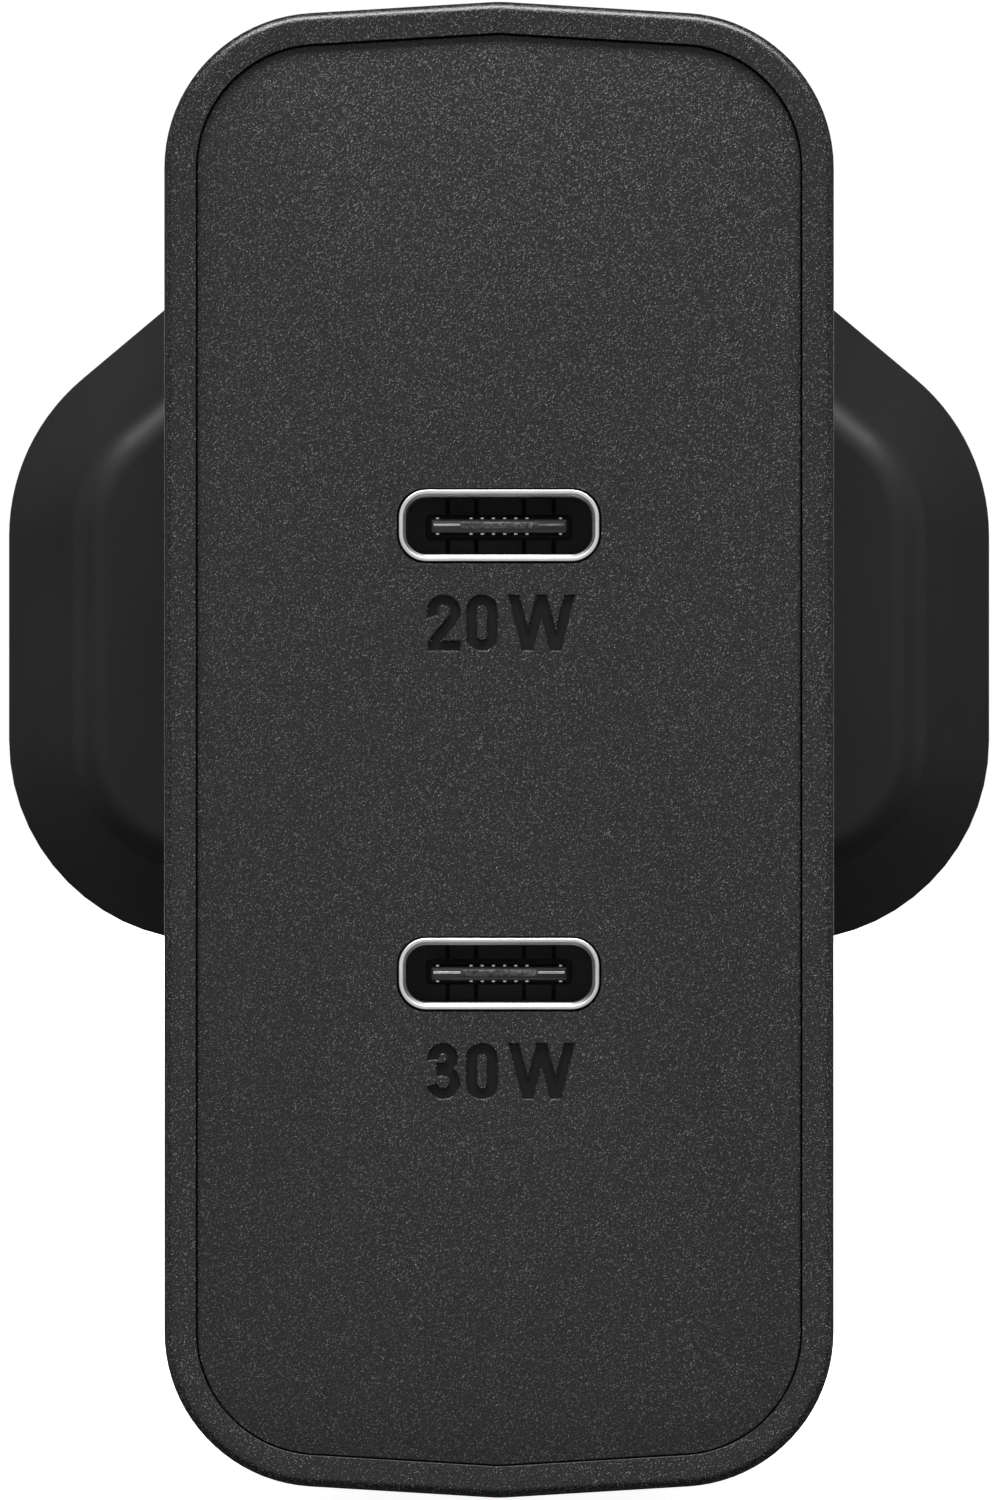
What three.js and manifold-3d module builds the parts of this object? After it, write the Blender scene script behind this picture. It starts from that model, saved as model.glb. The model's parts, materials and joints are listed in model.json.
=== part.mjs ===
// USB wall charger: slim upright housing, two USB-C outlets in the front, fixed three-pin plug behind.
// Millimetres. +X right and +Z up seen from the front, +Y the way the pins point.
// Origin: engagement face of the plug, midway between the live and neutral pins.

import * as THREE from 'three';
import { mergeVertices } from 'three/addons/utils/BufferGeometryUtils.js';
import { ConvexGeometry } from 'three/addons/geometries/ConvexGeometry.js';
import Module from 'manifold-3d';

const wasm = await Module();
wasm.setup();

// ---------------------------------------------------------------- driving dimensions
const GAP = 0.3;                 // clearance left between pieces that touch

const BODY_HALF_W = 14.94;       // housing half width
const BODY_APEX = 33.39;         // housing half height at the centre line
const GABLE = 0.0605;            // slope of the shallow gabled top and bottom
const BODY_R = 6.92;             // housing corner radius
const BODY_ZC = -2.2;            // housing centre below the live-neutral line
const FRONT_Y = -42.0;           // front plane of the rim
const EDGE_R = 0.4;              // rounding of the rim's outer edge
const SLEEVE_REAR_Y = -10.3;     // rear edge of the sleeve
const SLEEVE_WALL = 2.0;
const RIM_W = 1.35;              // visible rim around the front panel

const PANEL_INSET = 1.65;
const PANEL_FACE_Y = -41.7;
const PANEL_T = 1.7;
const PORT_PITCH = 20.0;         // centre to centre of the two outlets
const MARK_TOP = 3.12;           // rating numerals: top and foot below the outlet's centre
const MARK_FOOT = 5.60;
const MARK_STROKE = 0.44;
const MARK_DEPTH = 0.25;

const PORT_W = 8.95;             // USB-C receptacle shell
const PORT_H = 3.2;
const PORT_WALL = 0.31;
const PORT_REAR_Y = -34.5;
const TONGUE_W = 6.3;
const TONGUE_T = 0.7;
const TONGUE_TIP_Y = -41.0;

const PLUG_HALF_W = 23.78;       // flange: at least 9.5 mm from the pins to its edge
const PLUG_BOTTOM_Z = -11.48;
const PLUG_LOW_R = 9.73;
const PLUG_UP_R = 9.93;
const PLUG_UP_CZ = 8.18;         // height of the upper corner's centre
const PLUG_SHOULDER = 50;        // the shoulder's normal, degrees above +X
const PLUG_FRONT_Y = -10.0;      // front of the flange pad
const PLUG_LAND = 1.5;           // straight edge of the flange
const PLUG_TAPER = 3.8;          // how far the sloping band comes in
const PLUG_RIDGE_R = 2.0;
const FLOOR_T = 2.4;

const PIN_X = 11.115;            // live and neutral centres
const PIN_W = 6.35;
const PIN_T = 3.97;
const PIN_L = 17.7;
const PIN_COVER_L = 9.5;         // insulated part of the live and neutral pins
const EARTH_Z = 22.23;
const EARTH_W = 3.97;
const EARTH_H = 7.95;
const EARTH_L = 22.73;

const OUT_BOARD_Y = -34.2;       // front face of the output board
const OUT_BOARD_T = 1.0;
const POWER_BOARD_X = -11.8;     // left face of the power board
const BOARD_T = 1.2;

// ---------------------------------------------------------------- finishes
const mat = (color, roughness, metalness = 0) => new THREE.MeshStandardMaterial({ color, roughness, metalness });
const looks = {
  housing: () => mat(0x3a3a3b, 0.55),
  panel: () => mat(0x3a3a3b, 0.58),
  base: () => mat(0x2c2c2e, 0.45),
  pinMetal: () => mat(0xc9b88a, 0.3, 1),
  plasticBlack: () => mat(0x141415, 0.45),
  shell: () => mat(0xd6d6d8, 0.25, 1),
  steel: () => mat(0xb8babd, 0.35, 1),
  insert: () => mat(0x101011, 0.5),
  board: () => mat(0x1f5a33, 0.5),
  ferrite: () => mat(0x3c3e42, 0.7),
  copper: () => mat(0xb06a34, 0.35, 1),
  can: () => mat(0x2b3040, 0.35),
  canBare: () => mat(0xc3c5c8, 0.3, 1),
  chip: () => mat(0x1a1a1c, 0.6),
  yellow: () => mat(0xd9b43a, 0.5),
  blue: () => mat(0x2f5fa8, 0.45),
  ceramic: () => mat(0xe4ddcb, 0.5),
  aluminium: () => mat(0xbfc2c5, 0.4, 1),
  pad: () => mat(0x8f9aa6, 0.9),
  film: () => mat(0xe9e3c8, 0.6),
};

// ---------------------------------------------------------------- solids
function toSolid(geometry) {
  const g = geometry.clone();
  for (const key of Object.keys(g.attributes)) if (key !== 'position') g.deleteAttribute(key);
  const m = mergeVertices(g, 1e-4);
  const p = m.attributes.position.array;
  const t = Array.from(m.index.array);
  const keep = [];
  let volume = 0;
  for (let i = 0; i < t.length; i += 3) {
    const [a, b, c] = [t[i], t[i + 1], t[i + 2]];
    if (a === b || b === c || a === c) continue;
    keep.push(a, b, c);
    const A = new THREE.Vector3(p[3 * a], p[3 * a + 1], p[3 * a + 2]);
    const B = new THREE.Vector3(p[3 * b], p[3 * b + 1], p[3 * b + 2]);
    const C = new THREE.Vector3(p[3 * c], p[3 * c + 1], p[3 * c + 2]);
    volume += A.dot(B.cross(C));
  }
  if (volume < 0) for (let i = 0; i < keep.length; i += 3) [keep[i + 1], keep[i + 2]] = [keep[i + 2], keep[i + 1]];
  return new wasm.Manifold(new wasm.Mesh({
    numProp: 3,
    vertProperties: Float32Array.from(p),
    triVerts: Uint32Array.from(keep),
  }));
}

function fromSolid(solid) {
  const m = solid.getMesh();
  const g = new THREE.BufferGeometry();
  g.setAttribute('position', new THREE.BufferAttribute(Float32Array.from(m.vertProperties), 3));
  g.setIndex(new THREE.BufferAttribute(Uint32Array.from(m.triVerts), 1));
  g.computeVertexNormals();
  return g;
}

const shapeOf = (points, holes = []) => {
  const s = new THREE.Shape(points.map(([x, y]) => new THREE.Vector2(x, y)));
  for (const h of holes) s.holes.push(new THREE.Path(h.map(([x, y]) => new THREE.Vector2(x, y))));
  return s;
};

const basis = (x, y, z) => new THREE.Matrix4().makeBasis(new THREE.Vector3(...x), new THREE.Vector3(...y), new THREE.Vector3(...z));
const ALONG_Y = basis([1, 0, 0], [0, 0, 1], [0, -1, 0]);   // outline in X,Z
const ALONG_X = basis([0, 1, 0], [0, 0, 1], [1, 0, 0]);    // outline in Y,Z

// outline in X,Z between two Y planes
function prismY(points, y0, y1, holes = [], edge = 0) {
  const g = new THREE.ExtrudeGeometry(shapeOf(points, holes), edge > 0
    ? { depth: y1 - y0 - 2 * edge, steps: 1, bevelEnabled: true, bevelThickness: edge, bevelSize: edge, bevelOffset: -edge, bevelSegments: 3 }
    : { depth: y1 - y0, steps: 1, bevelEnabled: false });
  g.applyMatrix4(ALONG_Y);
  g.translate(0, y1 - edge, 0);
  return toSolid(g);
}

// outline in Y,Z between two X planes
function prismX(points, x0, x1, holes = []) {
  const g = new THREE.ExtrudeGeometry(shapeOf(points, holes), { depth: x1 - x0, steps: 1, bevelEnabled: false });
  g.applyMatrix4(ALONG_X);
  g.translate(x0, 0, 0);
  return toSolid(g);
}

const block = (x0, x1, y0, y1, z0, z1) => {
  const g = new THREE.BoxGeometry(x1 - x0, y1 - y0, z1 - z0);
  g.translate((x0 + x1) / 2, (y0 + y1) / 2, (z0 + z1) / 2);
  return toSolid(g);
};

// profile of [radius, distance along the axis], closed on itself or on the axis
function turned(profile, axis, sides = 24) {
  const closed = profile[0][0] < 1e-6 && profile[profile.length - 1][0] < 1e-6 ? profile : [...profile, profile[0]];
  const g = new THREE.LatheGeometry(closed.map(([r, t]) => new THREE.Vector2(r, t)), sides);
  if (axis === 'x') g.rotateZ(-Math.PI / 2);
  if (axis === 'z') g.rotateX(Math.PI / 2);
  return toSolid(g);
}

const ring = (cx, cz, rIn, rOut, y0, y1, sides = 24) =>
  turned([[rIn, y0], [rOut, y0], [rOut, y1], [rIn, y1]], 'y', sides).translate([cx, 0, cz]);
const rodY = (cx, cz, r, y0, y1, sides = 20) =>
  turned([[0, y0], [r, y0], [r, y1], [0, y1]], 'y', sides).translate([cx, 0, cz]);

// ---------------------------------------------------------------- outlines
const rad = (d) => (d * Math.PI) / 180;
const arc = (cx, cz, r, a0, a1, n) => Array.from({ length: n + 1 }, (_, i) => {
  const a = rad(a0 + ((a1 - a0) * i) / n);
  return [cx + r * Math.cos(a), cz + r * Math.sin(a)];
});

const roundRect = (cx, cz, w, h, r, n = 4) => [
  ...arc(cx + w / 2 - r, cz + h / 2 - r, r, 0, 90, n),
  ...arc(cx - w / 2 + r, cz + h / 2 - r, r, 90, 180, n),
  ...arc(cx - w / 2 + r, cz - h / 2 + r, r, 180, 270, n),
  ...arc(cx + w / 2 - r, cz - h / 2 + r, r, 270, 360, n),
];

const slot = (cx, cz, w, h, n = 10) => [
  ...arc(cx + w / 2 - h / 2, cz, h / 2, -90, 90, n),
  ...arc(cx - w / 2 + h / 2, cz, h / 2, 90, 270, n),
];

// housing outline, drawn in by "inset" all round
function bodyOutline(inset, n = 8) {
  const tilt = Math.atan(GABLE);
  const deg = (tilt * 180) / Math.PI;
  const cx = BODY_HALF_W - BODY_R;
  const cz = BODY_APEX - GABLE * cx - BODY_R / Math.cos(tilt);
  const r = BODY_R - inset;
  const top = BODY_APEX - inset / Math.cos(tilt);
  return [
    ...arc(cx, BODY_ZC + cz, r, 0, 90 - deg, n),
    [0, BODY_ZC + top],
    ...arc(-cx, BODY_ZC + cz, r, 90 + deg, 180, n),
    ...arc(-cx, BODY_ZC - cz, r, 180, 270 - deg, n),
    [0, BODY_ZC - top],
    ...arc(cx, BODY_ZC - cz, r, 270 + deg, 360, n),
  ];
}

// plug flange outline, drawn in by "inset"; its top runs inside the housing
function flangeOutline(inset, topX = 12) {
  const lowX = PLUG_HALF_W - PLUG_LOW_R;
  const lowZ = PLUG_BOTTOM_Z + PLUG_LOW_R;
  const upX = PLUG_HALF_W - PLUG_UP_R;
  const a = rad(PLUG_SHOULDER);
  const reach = Math.cos(a) * upX + Math.sin(a) * PLUG_UP_CZ + PLUG_UP_R - inset;
  const topZ = (reach - Math.cos(a) * topX) / Math.sin(a);
  const right = [
    ...arc(lowX, lowZ, PLUG_LOW_R - inset, -90, 0, 7),
    ...arc(upX, PLUG_UP_CZ, PLUG_UP_R - inset, 0, PLUG_SHOULDER, 5),
    [topX, topZ],
  ];
  return [...right, ...right.map(([x, z]) => [-x, z]).reverse()];
}

const hullOf = (levels) => toSolid(new ConvexGeometry(
  levels.flatMap(([points, y]) => points.map(([x, z]) => new THREE.Vector3(x, y, z)))));

// constant-width stroke along a polyline, square ends
function strokeOutline(points, width) {
  const left = [];
  const right = [];
  const v = points.map(([x, y]) => new THREE.Vector2(x, y));
  for (let i = 0; i < v.length; i++) {
    const d0 = i > 0 ? v[i].clone().sub(v[i - 1]).normalize() : null;
    const d1 = i < v.length - 1 ? v[i + 1].clone().sub(v[i]).normalize() : null;
    const n0 = d0 && new THREE.Vector2(-d0.y, d0.x);
    const n1 = d1 && new THREE.Vector2(-d1.y, d1.x);
    const n = n0 && n1 ? n0.clone().add(n1).normalize() : n0 || n1;
    const k = n0 && n1 ? 1 / Math.max(0.35, n.dot(n0)) : 1;
    left.push([v[i].x + n.x * k * width / 2, v[i].y + n.y * k * width / 2]);
    right.push([v[i].x - n.x * k * width / 2, v[i].y - n.y * k * width / 2]);
  }
  return [...left, ...right.reverse()];
}

// ---------------------------------------------------------------- assembly
const charger = new THREE.Group();
const group = () => { const g = new THREE.Group(); charger.add(g); return g; };
const enclosure = group();
const plug = group();
const power = group();
const output = group();

function add(parent, name, solid, material, at = [0, 0, 0]) {
  const mesh = new THREE.Mesh(fromSolid(solid), material);
  mesh.name = name;
  mesh.position.set(...at);
  parent.add(mesh);
  return mesh;
}

// ---------------------------------------------------------------- housing
{
  const outer = prismY(bodyOutline(0), FRONT_Y, SLEEVE_REAR_Y, [], EDGE_R);
  const bore = prismY(bodyOutline(SLEEVE_WALL), FRONT_Y - 1, SLEEVE_REAR_Y + 1);
  const rebate = prismY(bodyOutline(RIM_W), FRONT_Y - 1, PANEL_FACE_Y + PANEL_T + GAP);
  add(enclosure, 'housing_sleeve', outer.subtract(bore).subtract(rebate), looks.housing());
}

// rating numerals, drawn with plain even strokes; x from the outlet's centre line, z from the foot
function numeral(kind, x, z) {
  const h = MARK_TOP - MARK_FOOT;
  const H = -h;
  const s = MARK_STROKE / 2;
  const at = (points) => points.map(([u, v]) => [x + u, z + v]);
  const cut = (points, holes) => prismY(points, PANEL_FACE_Y - 1, PANEL_FACE_Y + MARK_DEPTH, holes);
  if (kind === '0') return cut(at(roundRect(0.69, H / 2, 1.38, H, 0.62, 5)), [at(roundRect(0.69, H / 2, 1.38 - 4 * s, H - 4 * s, 0.24, 3))]);
  if (kind === '2') {
    return cut(at(strokeOutline([
      ...arc(0.735, H - 0.735, 0.735 - s, 172, -32, 9),
      [0.26, 0.46], [0.26, s], [1.47, s]], MARK_STROKE)));
  }
  if (kind === '3') {
    const up = strokeOutline([...arc(0.72, H - 0.66, 0.66 - s, 170, -90, 10), [0.5, H - 0.66 - (0.66 - s)]], MARK_STROKE);
    const low = strokeOutline([[0.5, 0.74 + (0.74 - s)], ...arc(0.72, 0.74, 0.74 - s, 90, -170, 10)], MARK_STROKE);
    return cut(at(up)).add(cut(at(low)));
  }
  const w = 2.95;
  const q = [[s, H], [0.27 * w, s], [w / 2, H - 0.35], [0.73 * w, s], [w - s, H]];
  let out = cut(at(strokeOutline([q[0], q[1]], MARK_STROKE)));
  for (let i = 1; i < 4; i++) out = out.add(cut(at(strokeOutline([q[i], q[i + 1]], MARK_STROKE))));
  return out.intersect(block(x - 1, x + w + 1, PANEL_FACE_Y - 2, PANEL_FACE_Y + 2, z, z + H));
}

const portZ = [BODY_ZC + PORT_PITCH / 2, BODY_ZC - PORT_PITCH / 2];

{
  let panel = prismY(bodyOutline(PANEL_INSET), PANEL_FACE_Y, PANEL_FACE_Y + PANEL_T,
    portZ.map((z) => slot(0, z, PORT_W + 2 * GAP, PORT_H + 2 * GAP, 8)));
  [['2', portZ[0]], ['3', portZ[1]]].forEach(([digit, z]) => {
    const foot = z - MARK_FOOT;
    panel = panel.subtract(numeral(digit, -3.22, foot)).subtract(numeral('0', -1.46, foot)).subtract(numeral('W', 0.4, foot));
  });
  add(enclosure, 'front_panel', panel, looks.panel());
}

// ---------------------------------------------------------------- plug base
const screwAt = [[0, -5], [7.4, 12.5], [-7.4, 12.5]];
{
  const slope = Math.atan2(-PLUG_LAND - PLUG_FRONT_Y, PLUG_TAPER);
  const back = PLUG_RIDGE_R * Math.tan(slope / 2);
  const levels = [
    [flangeOutline(0.4), 0],
    [flangeOutline(0), -0.4],
    [flangeOutline(0), -PLUG_LAND],
  ];
  const cInset = PLUG_TAPER + back;
  const cY = PLUG_FRONT_Y + PLUG_RIDGE_R;
  for (let i = 0; i <= 4; i++) {
    const a = slope * (1 - i / 4);
    levels.push([flangeOutline(cInset - PLUG_RIDGE_R * Math.sin(a)), cY - PLUG_RIDGE_R * Math.cos(a)]);
  }
  let base = prismY(bodyOutline(0), PLUG_FRONT_Y, 0, [], EDGE_R)
    .add(hullOf(levels))
    .add(prismY(bodyOutline(SLEEVE_WALL + GAP), PLUG_FRONT_Y - 3, PLUG_FRONT_Y + 1));
  base = base
    .subtract(prismY(bodyOutline(3.5), PLUG_FRONT_Y - 4, -FLOOR_T))
    .subtract(hullOf([[flangeOutline(5.8, 10), PLUG_FRONT_Y + 2], [flangeOutline(3.2, 10), -FLOOR_T]]));
  for (const [x, z] of screwAt) base = base.add(rodY(x, z, 2.3, -4.3, -FLOOR_T + 0.5, 16)).subtract(rodY(x, z, 1.25, -5, -1.2, 12));
  for (const s of [-1, 1]) base = base.subtract(prismY(roundRect(s * PIN_X, 0, PIN_W + 2 * GAP, PIN_T + 2 * GAP, 0.7, 3), -FLOOR_T - 1, 1));
  base = base.subtract(prismY(roundRect(0, EARTH_Z, EARTH_W + 2 * GAP, EARTH_H + 2 * GAP, 0.7, 3), -FLOOR_T - 1, 1));
  add(plug, 'plug_base', base, looks.base());
}

// live and neutral pins, moulded into the base, with an insulating cover next to the face
for (const [name, s] of [['live_pin', 1], ['neutral_pin', -1]]) {
  const cx = s * PIN_X;
  const tip = hullOf([
    [roundRect(cx, 0, PIN_W, PIN_T, 0.5, 3), PIN_COVER_L + GAP],
    [roundRect(cx, 0, PIN_W, PIN_T, 0.5, 3), PIN_L - 1.4],
    [roundRect(cx, 0, PIN_W - 1.0, PIN_T - 1.0, 0.4, 3), PIN_L - 0.25],
    [roundRect(cx, 0, PIN_W - 1.6, PIN_T - 1.6, 0.3, 3), PIN_L],
  ]);
  const neck = prismY(roundRect(cx, 0, 4.75, 2.37, 0.3, 3), -3.2, PIN_COVER_L + GAP + 0.5);
  const collar = prismY(roundRect(cx, 0, 5.8, 3.4, 0.4, 3), -3.9, -FLOOR_T - GAP);
  const tail = prismY(roundRect(s * 9.3, 0, 2.2, 2.0, 0.2, 2), -8.6, -3.5);
  add(plug, name, tip.add(neck).add(collar).add(tail), looks.pinMetal());
  add(plug, `${name}_cover`, prismY(roundRect(cx, 0, PIN_W, PIN_T, 0.5, 3), -FLOOR_T + GAP, PIN_COVER_L,
    [roundRect(cx, 0, 4.75 + 2 * GAP, 2.37 + 2 * GAP, 0.4, 3)]), looks.plasticBlack());
}

// earth pin: plastic, it only opens the outlet's shutters
{
  const shaft = hullOf([
    [roundRect(0, EARTH_Z, EARTH_W, EARTH_H, 0.5, 3), -3],
    [roundRect(0, EARTH_Z, EARTH_W, EARTH_H, 0.5, 3), EARTH_L - 2.6],
    [roundRect(0, EARTH_Z, EARTH_W - 0.9, EARTH_H - 2.0, 0.4, 3), EARTH_L - 0.3],
    [roundRect(0, EARTH_Z, EARTH_W - 1.5, EARTH_H - 2.8, 0.3, 3), EARTH_L],
  ]);
  add(plug, 'earth_pin', shaft.add(prismY(roundRect(0, EARTH_Z, 6.0, 9.4, 0.5, 3), -4.3, -FLOOR_T - GAP)), looks.plasticBlack());
}

// plate that clamps the earth pin and covers the live parts
{
  let plate = prismY(roundRect(0, 9.7, 21.8, 34.4, 3.6, 5), -6.1, -4.6, screwAt.map(([x, z]) => arc(x, z, 1.25, 0, 330, 11)));
  for (const s of [-1, 1]) plate = plate.subtract(block(s > 0 ? 7.9 : -12, s > 0 ? 12 : -7.9, -7, -4, -1.3, 1.3));
  add(plug, 'pin_retainer', plate, looks.plasticBlack());
}

screwAt.forEach(([x, z], i) => {
  const screw = turned([[0, -4.8], [0.95, -4.8], [0.95, 0], [1.9, 0], [1.9, 0.75], [1.45, 1.1], [0, 1.1]], 'y', 16)
    .subtract(block(-1.1, 1.1, 0.55, 2, -0.25, 0.25)).subtract(block(-0.25, 0.25, 0.55, 2, -1.1, 1.1));
  const mesh = add(plug, `retainer_screw_${i + 1}`, screw, looks.steel(), [x, -6.4, z]);
  mesh.rotation.x = Math.PI;
});

// sprung strips from the pin tails to the input board
for (const [name, s] of [['live_contact_spring', 1], ['neutral_contact_spring', -1]]) {
  const strip = strokeOutline([[-9.1, -1.7], [-9.1, 1.5], [-9.5, 2.2], [-10.9, 3.5], [-11.0, 4.1], [-11.0, 6.6]], 0.4);
  add(plug, name, prismX(strip, s * 9.3 - 1.1, s * 9.3 + 1.1), looks.copper());
}

// ---------------------------------------------------------------- input side
const INPUT_FRONT_Y = -12.7;
add(power, 'input_board', prismY(roundRect(0.55, 0, 20.9, 17.0, 1.0, 3), INPUT_FRONT_Y, INPUT_FRONT_Y + BOARD_T), looks.board());
add(power, 'fuse', turned([[0, -4.6], [1.9, -4.6], [2.0, -4.3], [2.0, -2.6], [1.75, -2.5], [1.75, 2.5], [2.0, 2.6], [2.0, 4.3], [1.9, 4.6], [0, 4.6]], 'x', 18),
  looks.ceramic(), [0, -9.2, 5.6]);
add(power, 'board_link', block(-1.15, 1.15, -0.85, 0.85, -5, 5).subtract(block(-0.5, 0.5, 0.3, 2, -4.4, 4.4)), looks.plasticBlack(), [-9.15, -13.85, 0]);

// ---------------------------------------------------------------- power board
const FACE_X = POWER_BOARD_X + BOARD_T;          // component face
const SEAT_X = FACE_X + GAP;
{
  const corners = roundRect(-23.15, -2.2, 19.5, 56.8, 1.0, 3);
  const holes = [[-15.6, 24.2], [-30.9, -28.6]].map(([y, z]) => arc(y, z, 0.9, 0, 330, 11));
  add(power, 'power_board', prismX(corners, POWER_BOARD_X, FACE_X, holes), looks.board());
}

const CHOKE = [-3.3, -22.6, 20.0];
add(power, 'choke_core', ring(0, 0, 3.2, 6.0, -2.8, 2.8, 28), looks.ferrite(), CHOKE);
for (const [name, turn] of [['choke_winding_a', 90], ['choke_winding_b', 270]]) {
  const wedge = [[0, 0], ...arc(0, 0, 12, turn - 55, turn + 55, 6)];
  const coil = ring(0, 0, 2.35, 6.95, -3.8, 3.8, 32)
    .subtract(ring(0, 0, 2.9, 6.3, -3.1, 3.1, 32))
    .intersect(prismY(wedge, -6, 6));
  add(power, name, coil, looks.copper(), CHOKE);
}

add(power, 'x_capacitor', prismX(roundRect(-16.05, 20.0, 4.7, 12.0, 0.5, 2), SEAT_X, SEAT_X + 13.0), looks.yellow());
add(power, 'bridge_rectifier', block(SEAT_X, SEAT_X + 1.5, -17.6, -13.8, -13.0, -8.3), looks.chip());
add(power, 'power_switch_ic', block(SEAT_X, SEAT_X + 0.9, -17.6, -13.8, -21.0, -15.0), looks.chip());

[[-24.0, -13.4], [-24.0, -25.9]].forEach(([y, z], i) => {
  const can = turned([[0, 0], [5.7, 0], [6.0, 0.3], [6.0, 1.4], [5.6, 1.9], [6.0, 2.4], [6.0, 19.2], [5.6, 19.8], [5.0, 20.0], [0, 20.0]], 'x', 28)
    .subtract(block(19.6, 21, -4.2, 4.2, -0.2, 0.2)).subtract(block(19.6, 21, -0.2, 0.2, -4.2, 4.2));
  add(power, `bulk_capacitor_${i + 1}`, can, looks.can(), [SEAT_X, y, z]);
});

// transformer: two core halves round a bobbin, wound in its window
const XF = [0, -23.0, 3.1];
const coreHalf = (x0, plate1, end) => {
  const [a, b] = [Math.min(x0, end), Math.max(x0, end)];
  const [p, q] = [Math.min(x0, plate1), Math.max(x0, plate1)];
  return block(p, q, -6, 6, -9.5, 9.5)
    .add(block(a, b, -6, 6, 7.3, 9.5)).add(block(a, b, -6, 6, -9.5, -7.3))
    .add(turned([[0, a], [3.3, a], [3.3, b], [0, b]], 'x', 24));
};
add(power, 'transformer_core_a', coreHalf(-10.2, -6.8, -0.45), looks.ferrite(), XF);
add(power, 'transformer_core_b', coreHalf(9.6, 6.2, -0.15), looks.ferrite(), XF);
{
  let bobbin = turned([[3.6, -6.5], [7.0, -6.5], [7.0, -5.7], [4.4, -5.7], [4.4, 5.1], [7.0, 5.1], [7.0, 5.9], [3.6, 5.9]], 'x', 28);
  for (const s of [-1, 1]) {
    bobbin = bobbin.add(block(-6.5, -5.7, s > 0 ? 3.9 : -8, s > 0 ? 8 : -3.9, -4.6, 4.6))
      .add(block(-10.3, -5.7, s > 0 ? 6.6 : -8, s > 0 ? 8 : -6.6, -5.6, 5.6));
  }
  add(power, 'transformer_bobbin', bobbin, looks.plasticBlack(), XF);
  add(power, 'transformer_winding', turned([[4.7, -5.4], [6.7, -5.4], [6.7, 4.8], [4.7, 4.8]], 'x', 28), looks.yellow(), XF);
}

add(power, 'y_capacitor', turned([[0, -1.5], [2.5, -1.5], [3.0, -1.0], [3.0, 1.0], [2.5, 1.5], [0, 1.5]], 'y', 20), looks.blue(), [-7.3, -29.2, 19.5]);
add(power, 'insulation_barrier', prismY(roundRect(0.45, 3.2, 21.5, 20.2, 0.8, 2), -31.8, -31.3), looks.film());
add(power, 'thermal_pad', prismX(roundRect(-23.0, 3.1, 12.0, 18.2, 1.0, 2), 9.9, 11.2), looks.pad());
{
  const sheet = roundRect(-23.05, -2.5, 18.9, 49.0, 1.5, 3);
  add(power, 'heat_spreader', prismX(sheet, 11.5, 12.3, [roundRect(-23.0, -20.0, 5.0, 1.6, 0.7, 3), roundRect(-23.0, 17.5, 5.0, 1.6, 0.7, 3)]), looks.aluminium());
}

// ---------------------------------------------------------------- output side
const OUT_REAR_Y = OUT_BOARD_Y + OUT_BOARD_T;
const outSeat = OUT_REAR_Y + GAP;
add(output, 'output_board', prismY(roundRect(0, -2.2, 23.8, 56.4, 3.5, 4), OUT_BOARD_Y, OUT_REAR_Y), looks.board());
add(output, 'board_header', block(-10.3, -7.9, outSeat, outSeat + 2.3, -20.0, -8.0).subtract(block(-9.6, -8.6, outSeat + 1.5, outSeat + 3, -19.2, -8.8)), looks.plasticBlack());
add(output, 'sync_rectifier_ic', block(-2.5, 2.5, 0, 0.8, -2.5, 2.5), looks.chip(), [0.5, outSeat, 3.5]);

[['upper', portZ[0]], ['lower', portZ[1]]].forEach(([where, z], i) => {
  add(output, `${where}_port_shell`, prismY(slot(0, 0, PORT_W, PORT_H, 10), PANEL_FACE_Y, PORT_REAR_Y,
    [slot(0, 0, PORT_W - 2 * PORT_WALL, PORT_H - 2 * PORT_WALL, 10)]), looks.shell(), [0, 0, z]);
  const inW = PORT_W - 2 * PORT_WALL - 2 * GAP;
  const inH = PORT_H - 2 * PORT_WALL - 2 * GAP;
  const insert = prismY(slot(0, 0, inW, inH, 8), -37.2, PORT_REAR_Y)
    .add(prismY(roundRect(0, 0, 6.9, 1.3, 0.3, 2), -38.4, -37))
    .add(prismY([[-TONGUE_W / 2, -TONGUE_T / 2], [TONGUE_W / 2, -TONGUE_T / 2], [TONGUE_W / 2, TONGUE_T / 2], [-TONGUE_W / 2, TONGUE_T / 2]], TONGUE_TIP_Y, -38));
  add(output, `${where}_port_insert`, insert, looks.insert(), [0, 0, z]);
  add(output, `${where}_port_controller`, block(-2, 2, 0, 0.8, -2, 2), looks.chip(), i === 0 ? [7.0, outSeat, 9.6] : [-2.0, outSeat, -16.0]);
  add(output, `output_capacitor_${i + 1}`, turned([[0, 0], [3.0, 0], [3.15, 0.15], [3.15, 0.7], [2.95, 1.0], [3.15, 1.3], [3.15, 5.1], [2.8, 5.5], [0, 5.5]], 'y', 20),
    looks.canBare(), [i === 0 ? -0.2 : 7.1, outSeat, 20.5]);
  add(output, `output_inductor_${i + 1}`, prismY(roundRect(0, 0, 6.6, 6.6, 0.8, 2), 0, 2.6), looks.ferrite(), [i === 0 ? -3.5 : 4.6, outSeat, -26.2]);
});

export default charger;
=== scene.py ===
import json
import math

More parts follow.
